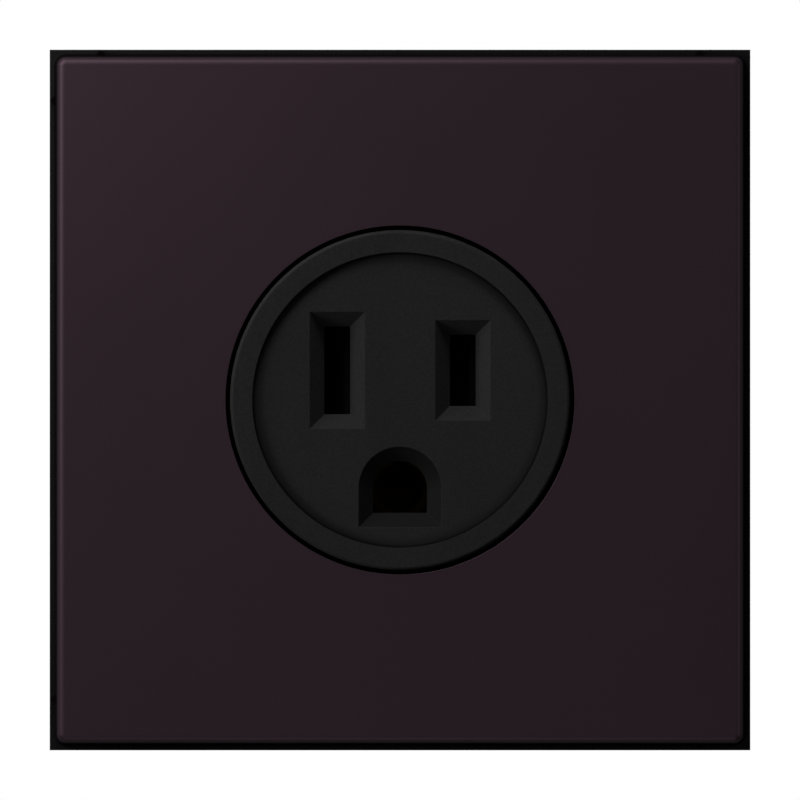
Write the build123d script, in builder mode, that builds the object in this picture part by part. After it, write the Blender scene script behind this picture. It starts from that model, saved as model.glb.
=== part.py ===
"""Single 15 A, 125 V wall outlet: a flush-mounted insert with a square centre plate.

Frame: +X right, +Z up, +Y into the wall, in millimetres. The origin is the centre of the box screw
pattern, on the wall surface (the rear face of the support ring's rim). Depths are y values, so the
front of the outlet has negative depths and the body inside the wall box has positive ones.
"""

from build123d import *

import os

# ---- Driving dimensions -------------------------------------------------------------------------

# Plug pattern: two parallel blades and a round earth pin
BLADE_PITCH = 12.7  # between the blade centres
BLADE_Z = 3.0  # height of the blade centres
BLADE_T = 1.5
EARTH_Z = BLADE_Z - 11.9  # height of the earth pin's centre
SLOT_W = 2.6
NEUTRAL_SLOT_H = 8.87
HOT_SLOT_H = 7.2
EARTH_HOLE_R = 2.71
EARTH_HOLE_DROP = 2.5  # from the pin's centre down to the hole's flat side
SLOT_BEVEL = 1.48  # both the width and the depth of the lead-in around each slot

# Centre plate
COVER_SIDE = 70.1  # at the rear edge
COVER_FRONT = -10.0
COVER_REAR = -2.6
COVER_DRAFT = 2.7  # degrees
COVER_CORNER_R = 1.2
COVER_EDGE_R = 0.8
COVER_WALL = 2.0
COVER_INNER = 66.6
COVER_HOLE_R = 17.65
RIB_PLACE = 30.3  # centring ribs, from the middle of each side
RIB_HALF_W = 0.42
RIB_REACH = 35.46
RIB_ROOT = 34.05  # inside the skirt's wall
RIB_LENGTH = 4.6

# Carrier frame behind the centre plate
RIM_SIDE = 71.0
RIM_REAR = -1.4
CARRIER_OUTER = 66.4
CARRIER_WALL = 1.4
CARRIER_INNER_R = 1.0
WEB_T = 1.0
LEG_X, LEG_Z = 22.4, 17.0
LEG_W, LEG_H = 1.6, 4.0
LEG_END = 2.4
BARB = 0.35
BARB_TOP, BARB_MIDDLE = 2.0, 1.2  # in front of the leg's end
LEG_RIB_T, LEG_RIB_DEEP, LEG_RIB_SHALLOW = 1.0, 2.8, 1.4
INNER_CORNER_R = 0.6

# Support ring
RING_SIDE = 70.8
RING_T = 1.2
RING_STEP = 0.6  # the middle is pressed forward by this much
RING_CORNER_R = 3.0
STEP_SIDE, STEP_CORNER_R, STEP_SLOPE = 54.4, 8.3, 0.7
WINDOW_W, WINDOW_H, WINDOW_CORNER_R = 30.8, 35.6, 3.0
NOTCH_W, NOTCH_DEPTH = 3.0, 0.8  # levelling notches
RIVET_R, RIVET_HEAD_R, RIVET_TAIL_R = 1.1, 1.8, 1.7
RIVET_HEAD_T, RIVET_TAIL_T = 0.7, 0.6
BOX_SCREW_PITCH = 60.0
BOX_HOLE_R = 2.0
BOX_SLOT_DEG = 20.0
EAR_T = 1.0
EAR_HALF_W = 1.8
EAR_GAP = 0.4  # from each ear to the claw between them

# Moulded face and its boss
FACE_R = 17.2
FACE_FRONT = -10.3
FACE_RECESS_R = 14.92
FACE_RECESS = 0.5
FACE_EDGE_R = 0.35
FACE_WALL = 3.5
CAVITY_R = 15.0
FLANGE_W, FLANGE_H, FLANGE_T, FLANGE_CORNER_R = 39.0, 44.0, 2.4, 3.0
STRAP_POCKET_HALF_W, STRAP_POCKET_TOP, STRAP_POCKET_DEPTH = 2.4, -13.5, 1.7
POST_X, POST_Z, POST_R = 12.2, 14.6, 2.9
POST_FRONT = -6.4
PILOT_DEPTH = 3.9

# Rear housing
HOUSING_W, HOUSING_H, HOUSING_CORNER_R = 36.0, 41.0, 3.5
HOUSING_REAR = 24.0
HOUSING_EDGE_R = 0.8
GROOVE_W, GROOVE_DEPTH = 0.5, 0.3
SPIGOT_GAP = 0.2  # around the housing's spigot in the ring's window
CELL_REAR = 13.2  # the front block ends and the terminal block starts here
CELL_HALF_W, CELL_END_GAP = 2.85, 0.6
EARTH_CELL_HALF_W, EARTH_CELL_LOW, EARTH_CELL_HIGH = 4.2, 3.7, 4.1
CHAMBER_FRONT, CHAMBER_REAR = 12.3, 21.5
CHAMBER_HALF_W = 5.2
WIRE_HOLE_R = 1.6
WIRE_OFFSET = 3.3  # from the terminal screw's axis to the wire
WIRE_HOLE_CHAMFER = 0.35
HOUSING_SCREW_R, HOUSING_SCREW_HEAD_R, HOUSING_SCREW_HEAD_T = 1.4, 2.6, 2.0
HOUSING_DRIVE_L, HOUSING_DRIVE_W, HOUSING_DRIVE_DEPTH = 2.8, 0.7, 1.1
PANEL_W, PANEL_H, PANEL_CORNER_R, PANEL_DEPTH = 15.0, 11.0, 1.0, 0.4
GAUGE_L, GAUGE_W, GAUGE_Z = 12.0, 1.6, 14.5

# Contacts, clamps and terminal screws
STRIP = 0.7
CLIP_FRONT = 0.2
CLIP_GAP = BLADE_T + 0.06
FLARE, FLARE_INNER_L, FLARE_OUTER_L = 0.75, 1.3, 1.1
SLEEVE_R, SLEEVE_SLIT = 2.42, 1.6
TERMINAL_FACE = 12.75  # outer face of the live terminal plates, from the middle
EARTH_TERMINAL_FACE = 14.65
TERMINAL_Y = 17.2
HOT_TERMINAL_Z, NEUTRAL_TERMINAL_Z = -4.5, 5.5
CLAMP_GAP, CLAMP_T = 2.7, 1.0
CLAMP_L, CLAMP_W, CLAMP_CHAMFER = 7.8, 9.6, 0.8
WIRE_GROOVE_HALF_W, WIRE_GROOVE_DEPTH = 0.6, 0.35
SCREW_R, SCREW_HEAD_R, SCREW_HEAD_T = 1.75, 3.2, 2.0
SCREW_TIP = 1.45  # how far the tip stands in through the terminal plate's outer face
SCREW_TRAVEL = 2.1
TIP_CHAMFER, HEAD_CHAMFER = 0.4, 0.3
DRIVE_W, DRIVE_L, DRIVE_DEPTH = 0.9, 3.6, 1.0
EARTH_STRIP_HALF_W = 2.9
STRAP_W = 3.6
RIVET_Z = -19.6

# Fixing claws
CLAW_X, CLAW_Z, CLAW_Y = 20.4, 8.5, 5.0  # hinge axis
CLAW_SCREW_X = 24.2
CLAW_T, CLAW_W = 1.2, 6.0
CLAW_ARM = 7.6  # from the hinge axis to the end of the screw's arm
CLAW_REACH = 16.8  # from the hinge axis to the back of the long arm
CLAW_TOOTH = 3.2
TOOTH_NOTCH, NOTCH_HALF_W = 1.5, 1.0
CLAW_BACKSET = 1.4  # from the hinge axis to the inner face of the long arm
CLAW_CORNER_R = 2.0
CLAW_SLOT_X, CLAW_SLOT_L = 4.1, 4.3
CLAW_KNUCKLE_R = 1.6
CLAW_PIN_R, CLAW_PIN_HEAD_R, CLAW_PIN_HEAD_T = 0.8, 1.3, 0.6
CLAW_SCREW_R, CLAW_SCREW_HEAD_R, CLAW_SCREW_HEAD_T = 1.5, 2.7, 2.1
CLAW_SCREW_END = 8.5
CLAW_DRIVE_W, CLAW_DRIVE_L = 0.8, 3.0

# Shutter
SLIDER_FRONT, SLIDER_REAR = -6.1, -3.5
SLIDER_LOW, SLIDER_HIGH = -2.4, 8.4
RAMP_START = -1.55  # from each slot's centre to the foot of its ramp
RAMP_LAND = 0.3  # flat edge left at the foot of each ramp
SLIDER_BAR = 1.2  # frame above and below the slider's window
SLIDER_END = 3.8  # solid length from the right foot to the slider's end
BASE_FRONT = -3.4
BASE_LOW = -13.2
GUIDE_HALF_L, GUIDE_T, GUIDE_RISE = 8.5, 0.9, 2.1
SPRING_POST_T, SPRING_POST_HALF_H, SPRING_POST_RISE = 1.0, 1.4, 2.5
POST_LEFT = 1.0  # fixed end of the spring
SPRING_LEFT = -4.4  # moving end of the spring
SPRING_R, SPRING_WALL = 1.1, 0.35

RUN = 0.05  # running gap between parts that turn or slide on each other
FIT = 0.2  # assembly gap around parts that are only laid in place
GAP = 0.5  # open gap, across a hole or a slot, around a part that passes through it
OVERLAP = 0.2  # how far joined features run into each other
CLEAR = 1.0  # how far a cut runs past the surface that it starts from

# ---- Derived levels -----------------------------------------------------------------------------

RING_FRONT = -RING_T - RING_STEP
FACE_DISC = FACE_FRONT + FACE_RECESS
FACE_BACK = FACE_DISC + FACE_WALL
CARRIER_FRONT = COVER_FRONT + COVER_WALL
WEB_REAR = CARRIER_FRONT + WEB_T
BLADE_X = BLADE_PITCH / 2
SPIGOT_W, SPIGOT_H = WINDOW_W - 2 * SPIGOT_GAP, WINDOW_H - 2 * SPIGOT_GAP
SLOTS = [(-BLADE_X, NEUTRAL_SLOT_H), (BLADE_X, HOT_SLOT_H)]


def at_depth(y):
    """Sketch plane at depth y: local x is +X, local y is +Z, and a positive extrusion goes forward."""
    return Plane.XZ.offset(-y)


def at_height(z):
    """Sketch plane at height z: local x is +X, local y is +Y, and a positive extrusion goes up."""
    return Plane.XY.offset(z)


def rectangle_between(x1, x2, y1, y2, mode=Mode.ADD):
    """A rectangle given by two opposite corners, inside a sketch."""
    with Locations(((x1 + x2) / 2, (y1 + y2) / 2)):
        return Rectangle(abs(x2 - x1), abs(y2 - y1), mode=mode)


def earth_outline(grow):
    """The earth hole's outline, a half circle over a rectangle, grown outwards by grow."""
    r = EARTH_HOLE_R + grow
    bottom = EARTH_Z - EARTH_HOLE_DROP - grow
    with BuildSketch() as outline:
        with BuildLine():
            Polyline((-r, EARTH_Z), (-r, bottom), (r, bottom), (r, EARTH_Z))
            ThreePointArc((r, EARTH_Z), (0, EARTH_Z + r), (-r, EARTH_Z))
        make_face()
    return outline.sketch


def save(builder, name):
    """Write one sub-part to its own file."""
    builder.part.label = name
    export_step(builder.part, f"parts/{name}.step")


# Each terminal has a plane on its plate's outer face: local x is +Y and local z points outwards.
hot_terminal = Plane((TERMINAL_FACE, TERMINAL_Y, HOT_TERMINAL_Z), x_dir=(0, 1, 0), z_dir=(1, 0, 0))
neutral_terminal = Plane(
    (-TERMINAL_FACE, TERMINAL_Y, NEUTRAL_TERMINAL_Z), x_dir=(0, 1, 0), z_dir=(-1, 0, 0)
)
earth_terminal = Plane((0, TERMINAL_Y, -EARTH_TERMINAL_FACE), x_dir=(0, 1, 0), z_dir=(0, 0, -1))
TERMINALS = [("hot", hot_terminal), ("neutral", neutral_terminal), ("earth", earth_terminal)]

earth_hole = earth_outline(0)
earth_mouth = earth_outline(SLOT_BEVEL)
earth_window = earth_outline(FIT)

os.makedirs("parts", exist_ok=True)

# ---- Centre plate: a lacquered shell with a drafted skirt ----------------------------------------

with BuildPart() as cover_plate:
    with BuildSketch(at_depth(COVER_REAR)):
        RectangleRounded(COVER_SIDE, COVER_SIDE, COVER_CORNER_R)
    extrude(amount=COVER_REAR - COVER_FRONT, taper=COVER_DRAFT)
    fillet(faces().sort_by(Axis.Y)[0].edges(), COVER_EDGE_R)
    with BuildSketch(at_depth(COVER_REAR)):  # centring ribs, two on each side of the skirt
        with PolarLocations(0, 4):
            with Locations((-RIB_PLACE, 0), (RIB_PLACE, 0)):
                Polygon(
                    (-RIB_HALF_W, RIB_ROOT),
                    (RIB_HALF_W, RIB_ROOT),
                    (RIB_HALF_W, RIB_REACH - RIB_HALF_W),
                    (0, RIB_REACH),
                    (-RIB_HALF_W, RIB_REACH - RIB_HALF_W),
                    align=None,
                )
    extrude(amount=RIB_LENGTH)
    with BuildSketch(at_depth(COVER_REAR)):  # the hollow behind the front wall
        RectangleRounded(COVER_INNER, COVER_INNER, INNER_CORNER_R)
    extrude(amount=COVER_REAR - CARRIER_FRONT, mode=Mode.SUBTRACT)
    with BuildSketch(at_depth(COVER_REAR)):  # the round opening for the face
        Circle(COVER_HOLE_R)
    extrude(amount=COVER_REAR - COVER_FRONT, mode=Mode.SUBTRACT)
save(cover_plate, "cover_plate")

# ---- Carrier frame: the black rim, inner wall and latch legs that hold the centre plate ----------

carrier_inner = CARRIER_OUTER - 2 * CARRIER_WALL
leg_edge = LEG_X + LEG_W / 2

with BuildPart() as carrier_frame:
    with BuildSketch(at_depth(RIM_REAR)):
        Rectangle(RIM_SIDE, RIM_SIDE)
        RectangleRounded(carrier_inner, carrier_inner, CARRIER_INNER_R, mode=Mode.SUBTRACT)
    extrude(amount=RIM_REAR - COVER_REAR)
    with BuildSketch(at_depth(COVER_REAR)):
        RectangleRounded(CARRIER_OUTER, CARRIER_OUTER, INNER_CORNER_R)
        RectangleRounded(carrier_inner, carrier_inner, CARRIER_INNER_R, mode=Mode.SUBTRACT)
    extrude(amount=COVER_REAR - CARRIER_FRONT)
    with BuildSketch(at_depth(WEB_REAR)):
        Rectangle(carrier_inner + CARRIER_WALL, carrier_inner + CARRIER_WALL)
        Circle(COVER_HOLE_R + GAP, mode=Mode.SUBTRACT)
    extrude(amount=WEB_T)
    with BuildSketch(at_depth(LEG_END)):  # four legs through the support ring
        with GridLocations(2 * LEG_X, 2 * LEG_Z, 2, 2):
            Rectangle(LEG_W, LEG_H)
    extrude(amount=LEG_END - WEB_REAR + OVERLAP)
    for side in (-1, 1):
        for leg_z in (-LEG_Z, LEG_Z):
            with BuildSketch(at_height(leg_z - LEG_H / 2)):  # barb on the leg's outer side
                Polygon(
                    (side * (leg_edge - OVERLAP), LEG_END),
                    (side * leg_edge, LEG_END),
                    (side * (leg_edge + BARB), LEG_END - BARB_MIDDLE),
                    (side * leg_edge, LEG_END - BARB_TOP),
                    (side * (leg_edge - OVERLAP), LEG_END - BARB_TOP),
                    align=None,
                )
            extrude(amount=LEG_H)
            with BuildSketch(at_height(leg_z - LEG_RIB_T / 2)):  # rib out to the side wall
                Polygon(
                    (side * (leg_edge - OVERLAP), WEB_REAR - OVERLAP),
                    (side * (carrier_inner / 2 + OVERLAP), WEB_REAR - OVERLAP),
                    (side * (carrier_inner / 2 + OVERLAP), WEB_REAR + LEG_RIB_DEEP),
                    (side * (leg_edge - OVERLAP), WEB_REAR + LEG_RIB_SHALLOW),
                    align=None,
                )
            extrude(amount=LEG_RIB_T)
save(carrier_frame, "carrier_frame")

# ---- Support ring: a pressed steel plate with the box screw holes and the claws' ears ------------

with BuildPart() as support_ring:
    with BuildSketch(at_depth(0)):
        RectangleRounded(RING_SIDE, RING_SIDE, RING_CORNER_R)
    extrude(amount=RING_T)
    with BuildSketch(at_depth(-RING_T)):  # the pressed step: proud in front, hollow behind
        step = STEP_SIDE + 2 * STEP_SLOPE
        RectangleRounded(step, step, STEP_CORNER_R + STEP_SLOPE)
    extrude(amount=RING_STEP)
    with BuildSketch(at_depth(0)):
        RectangleRounded(STEP_SIDE, STEP_SIDE, STEP_CORNER_R)
    extrude(amount=RING_STEP, mode=Mode.SUBTRACT)
    with BuildSketch(at_depth(0)):
        RectangleRounded(WINDOW_W, WINDOW_H, WINDOW_CORNER_R)
        with Locations((0, -BOX_SCREW_PITCH / 2), (0, BOX_SCREW_PITCH / 2)):
            Circle(BOX_HOLE_R)
        for middle in (0, 180):  # curved slots, so that the insert can be turned level
            SlotArc(
                CenterArc((0, 0), BOX_SCREW_PITCH / 2, middle - BOX_SLOT_DEG / 2, BOX_SLOT_DEG),
                2 * BOX_HOLE_R,
            )
        with Locations((CLAW_SCREW_X, CLAW_Z), (-CLAW_SCREW_X, -CLAW_Z)):
            Circle(CLAW_SCREW_R + GAP / 2)
        with GridLocations(2 * (LEG_X + GAP / 2), 2 * LEG_Z, 2, 2):  # for the latch legs
            RectangleRounded(LEG_W + 2 * GAP, LEG_H + 2 * FIT, FIT)
        with Locations((0, RIVET_Z)):
            Circle(RIVET_R + RUN)
        for end in (-1, 1):  # levelling notches
            with Locations((0, end * RING_SIDE / 2)):
                Rectangle(NOTCH_W, 2 * NOTCH_DEPTH)
    extrude(amount=RING_T + RING_STEP, mode=Mode.SUBTRACT)
    for side in (-1, 1):
        for edge in (-1, 1):  # two bent ears hold each claw's hinge pin
            ear_middle = side * CLAW_Z + edge * (CLAW_W / 2 + EAR_GAP + EAR_T / 2)
            with BuildSketch(at_height(ear_middle - EAR_T / 2)):
                x = side * CLAW_X
                rectangle_between(x - EAR_HALF_W, x + EAR_HALF_W, RING_FRONT / 2, CLAW_Y)
                with Locations((x, CLAW_Y)):
                    Circle(EAR_HALF_W)
                    Circle(CLAW_PIN_R, mode=Mode.SUBTRACT)
            extrude(amount=EAR_T)
save(support_ring, "support_ring")

# ---- Receptacle face: round boss, flange and screw posts, moulded in one -------------------------

with BuildPart() as receptacle_face:
    with BuildSketch(at_depth(RING_FRONT)):
        RectangleRounded(FLANGE_W, FLANGE_H, FLANGE_CORNER_R)
    extrude(amount=FLANGE_T)
    with BuildSketch(at_depth(RING_FRONT)):
        with GridLocations(2 * POST_X, 2 * POST_Z, 2, 2):
            Circle(POST_R)
    extrude(amount=RING_FRONT - POST_FRONT)
    with BuildSketch(at_depth(RING_FRONT)):
        Circle(FACE_R)
    extrude(amount=RING_FRONT - FACE_FRONT)
    fillet(faces().sort_by(Axis.Y)[0].edges(), FACE_EDGE_R)
    with BuildSketch(at_depth(FACE_FRONT)):  # the shallow dish inside the raised ring
        Circle(FACE_RECESS_R)
    extrude(amount=-FACE_RECESS, mode=Mode.SUBTRACT)
    with BuildSketch(at_depth(RING_FRONT)):  # hollow for the shutter
        Circle(CAVITY_R)
    extrude(amount=RING_FRONT - FACE_BACK, mode=Mode.SUBTRACT)
    for x, height in SLOTS:
        with BuildSketch(at_depth(FACE_DISC)):
            with Locations((x, BLADE_Z)):
                Rectangle(SLOT_W + 2 * SLOT_BEVEL, height + 2 * SLOT_BEVEL)
        with BuildSketch(at_depth(FACE_DISC + SLOT_BEVEL)):
            with Locations((x, BLADE_Z)):
                Rectangle(SLOT_W, height)
        loft(mode=Mode.SUBTRACT)
    with BuildSketch(at_depth(FACE_DISC)):
        add(earth_mouth)
    with BuildSketch(at_depth(FACE_DISC + SLOT_BEVEL)):
        add(earth_hole)
    loft(mode=Mode.SUBTRACT)
    with BuildSketch(at_depth(FACE_DISC)):
        for x, height in SLOTS:
            with Locations((x, BLADE_Z)):
                Rectangle(SLOT_W, height)
        add(earth_hole)
    extrude(amount=-FACE_WALL, mode=Mode.SUBTRACT)
    with BuildSketch(at_depth(RING_FRONT)):  # screw pilot holes
        with GridLocations(2 * POST_X, 2 * POST_Z, 2, 2):
            Circle(HOUSING_SCREW_R + RUN)
    extrude(amount=PILOT_DEPTH, mode=Mode.SUBTRACT)
    with BuildSketch(at_depth(RING_FRONT)):  # pocket over the bonding strap and rivet
        rectangle_between(
            -STRAP_POCKET_HALF_W, STRAP_POCKET_HALF_W, -FLANGE_H / 2 - CLEAR, STRAP_POCKET_TOP
        )
    extrude(amount=STRAP_POCKET_DEPTH, mode=Mode.SUBTRACT)
save(receptacle_face, "receptacle_face")

# ---- Shutter: base plate, sprung slider and its spring -------------------------------------------

with BuildPart() as shutter_base:
    with BuildSketch(at_depth(RING_FRONT)):
        Circle(CAVITY_R - FIT)
        rectangle_between(-CAVITY_R, CAVITY_R, -CAVITY_R, BASE_LOW, mode=Mode.SUBTRACT)
        for x, height in SLOTS:
            with Locations((x, BLADE_Z)):
                Rectangle(SLOT_W + GAP, height + GAP, mode=Mode.SUBTRACT)
        add(earth_window, mode=Mode.SUBTRACT)
    extrude(amount=RING_FRONT - BASE_FRONT)
    with BuildSketch(at_depth(BASE_FRONT)):  # guides above and below the slider
        for edge, outward in ((SLIDER_HIGH, 1), (SLIDER_LOW, -1)):
            rectangle_between(
                -GUIDE_HALF_L,
                GUIDE_HALF_L,
                edge + outward * FIT,
                edge + outward * (FIT + GUIDE_T),
            )
    extrude(amount=GUIDE_RISE)
    with BuildSketch(at_depth(BASE_FRONT)):  # post at the spring's fixed end
        rectangle_between(
            POST_LEFT, POST_LEFT + SPRING_POST_T, BLADE_Z - SPRING_POST_HALF_H, BLADE_Z + SPRING_POST_HALF_H
        )
    extrude(amount=SPRING_POST_RISE)
save(shutter_base, "shutter_base")

ramp_depth = SLIDER_REAR - SLIDER_FRONT - RAMP_LAND

with BuildPart() as shutter_slider:
    left_foot = -BLADE_X + RAMP_START
    right_foot = BLADE_X + RAMP_START
    window_low, window_high = SLIDER_LOW + SLIDER_BAR, SLIDER_HIGH - SLIDER_BAR
    with BuildSketch(at_depth(SLIDER_REAR)):
        rectangle_between(left_foot, right_foot + SLIDER_END, SLIDER_LOW, SLIDER_HIGH)
        rectangle_between(SPRING_LEFT, right_foot, window_low, window_high, mode=Mode.SUBTRACT)
    extrude(amount=SLIDER_REAR - SLIDER_FRONT)
    for foot, low, high in (
        (left_foot, SLIDER_LOW, SLIDER_HIGH),
        (right_foot, window_low, window_high),
    ):
        with BuildSketch(at_height(low)):  # each blade pushes the slider aside by a sloping ramp
            Polygon(
                (foot, SLIDER_FRONT),
                (foot, SLIDER_REAR - RAMP_LAND),
                (foot + ramp_depth, SLIDER_FRONT),
                align=None,
            )
        extrude(amount=high - low, mode=Mode.SUBTRACT)
save(shutter_slider, "shutter_slider")

with BuildPart() as shutter_spring:
    with BuildSketch(Plane.YZ.offset(SPRING_LEFT)):
        with Locations(((SLIDER_FRONT + SLIDER_REAR) / 2, BLADE_Z)):
            Circle(SPRING_R)
            Circle(SPRING_R - SPRING_WALL, mode=Mode.SUBTRACT)
    extrude(amount=POST_LEFT - SPRING_LEFT)
save(shutter_spring, "shutter_spring")

# ---- Live contacts: a two-leaf clip, an arm and a terminal plate from one strip -------------------

clip_outer = CLIP_GAP / 2 + STRIP
plate_rear = CHAMBER_REAR - FIT
arm_front = CELL_REAR - STRIP
plate_inner = TERMINAL_FACE - STRIP

# name, side of the middle, clip height, terminal plane, arm's lower and upper edges
LIVE = [
    ("hot", 1, 6.8, hot_terminal, -3.4, 1.5),
    ("neutral", -1, 8.4, neutral_terminal, 1.5, 7.0),
]

for name, side, clip_h, terminal, arm_low, arm_high in LIVE:
    with BuildPart() as contact:
        for leaf in (-1, 1):
            with BuildSketch(at_height(BLADE_Z - clip_h / 2)):
                middle = side * BLADE_X
                near, far = CLIP_GAP / 2, clip_outer
                Polygon(
                    (middle + leaf * near, CELL_REAR),
                    (middle + leaf * near, CLIP_FRONT),
                    (middle + leaf * (near + FLARE), CLIP_FRONT - FLARE_INNER_L),
                    (middle + leaf * (far + FLARE), CLIP_FRONT - FLARE_OUTER_L),
                    (middle + leaf * far, CLIP_FRONT + FIT),
                    (middle + leaf * far, CELL_REAR),
                    align=None,
                )
            extrude(amount=clip_h)
        with BuildSketch(at_depth(CELL_REAR)):
            rectangle_between(
                side * (BLADE_X - clip_outer),
                side * (BLADE_X + clip_outer),
                BLADE_Z - clip_h / 2,
                BLADE_Z + clip_h / 2,
            )
            rectangle_between(side * (BLADE_X - clip_outer), side * TERMINAL_FACE, arm_low, arm_high)
        extrude(amount=STRIP)
        with BuildSketch(terminal):
            rectangle_between(
                arm_front - TERMINAL_Y, plate_rear - TERMINAL_Y, -CLAMP_W / 2, CLAMP_W / 2
            )
            Circle(SCREW_R + RUN, mode=Mode.SUBTRACT)
        extrude(amount=-STRIP)
    save(contact, f"{name}_contact")

# ---- Earth contact: a split sleeve, a terminal plate and the bonding strap to the ring -----------

plate_top = -EARTH_TERMINAL_FACE + STRIP
strap_front = RING_FRONT - STRIP

with BuildPart() as earth_contact:
    with BuildSketch(at_depth(arm_front)):
        with Locations((0, EARTH_Z)):
            Circle(SLEEVE_R + STRIP)
            Circle(SLEEVE_R, mode=Mode.SUBTRACT)
        rectangle_between(
            -SLEEVE_SLIT / 2, SLEEVE_SLIT / 2, EARTH_Z, EARTH_Z + SLEEVE_R + CLEAR, mode=Mode.SUBTRACT
        )
    extrude(amount=arm_front - CLIP_FRONT)
    with BuildSketch(at_depth(CELL_REAR)):  # strip across the sleeve's rear end
        rectangle_between(-EARTH_STRIP_HALF_W, EARTH_STRIP_HALF_W, -EARTH_TERMINAL_FACE, EARTH_Z)
    extrude(amount=STRIP)
    with BuildSketch(earth_terminal):
        rectangle_between(
            arm_front - TERMINAL_Y, plate_rear - TERMINAL_Y, -CLAMP_W / 2, CLAMP_W / 2
        )
        Circle(SCREW_R + RUN, mode=Mode.SUBTRACT)
    extrude(amount=-STRIP)
    with BuildSketch(at_height(-EARTH_TERMINAL_FACE)):
        rectangle_between(-STRAP_W / 2, STRAP_W / 2, strap_front, arm_front + OVERLAP)
    extrude(amount=STRIP)
    with BuildSketch(at_depth(RING_FRONT)):
        rectangle_between(-STRAP_W / 2, STRAP_W / 2, RIVET_Z - RIVET_HEAD_R, plate_top)
        with Locations((0, RIVET_Z)):
            Circle(RIVET_R, mode=Mode.SUBTRACT)
    extrude(amount=STRIP)
save(earth_contact, "earth_contact")

with BuildPart() as bonding_rivet:
    with BuildSketch(at_depth(-RING_STEP)):
        with Locations((0, RIVET_Z)):
            Circle(RIVET_R)
    extrude(amount=-RING_STEP - strap_front)
    with BuildSketch(at_depth(strap_front)):
        with Locations((0, RIVET_Z)):
            Circle(RIVET_HEAD_R)
    extrude(amount=RIVET_HEAD_T)
    with BuildSketch(at_depth(-RING_STEP)):
        with Locations((0, RIVET_Z)):
            Circle(RIVET_TAIL_R)
    extrude(amount=-RIVET_TAIL_T)
save(bonding_rivet, "bonding_rivet")

# ---- Housing: cells for the contacts in front, and a chamber for each terminal behind ------------

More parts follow.
